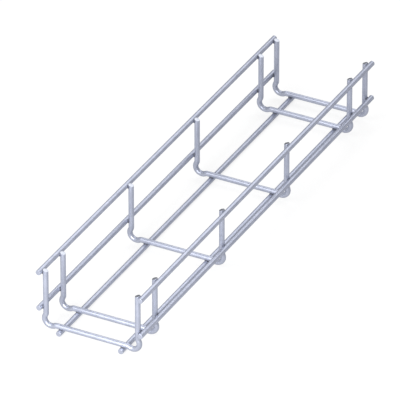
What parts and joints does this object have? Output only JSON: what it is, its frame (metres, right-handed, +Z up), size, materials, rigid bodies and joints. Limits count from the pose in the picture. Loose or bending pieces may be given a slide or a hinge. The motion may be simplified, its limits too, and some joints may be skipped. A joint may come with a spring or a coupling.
{
  "type": "wire mesh cable basket",
  "caption": "Short section of welded wire cable basket: U-bent cross wires carry straight long wires on their outside and form an open trough for cables.",
  "frame": {"origin": "on the surface the floor wires rest on, in the middle of the width and length", "axes": "+X across the basket, +Y along it, +Z up out of the open trough"},
  "size_m": [0.0824, 0.358, 0.0497],
  "materials": {
    "galvanised_wire": "bright galvanised"
  },
  "bodies": {
    "root": {"cross_wire_1": "galvanised_wire", "cross_wire_2": "galvanised_wire", "cross_wire_3": "galvanised_wire", "cross_wire_4": "galvanised_wire", "cross_wire_5": "galvanised_wire", "cross_wire_6": "galvanised_wire", "floor_wire_left": "galvanised_wire", "floor_wire_right": "galvanised_wire", "side_wire_left": "galvanised_wire", "side_wire_right": "galvanised_wire", "rim_wire_left": "galvanised_wire", "rim_wire_right": "galvanised_wire"}
  },
  "joints": []
}
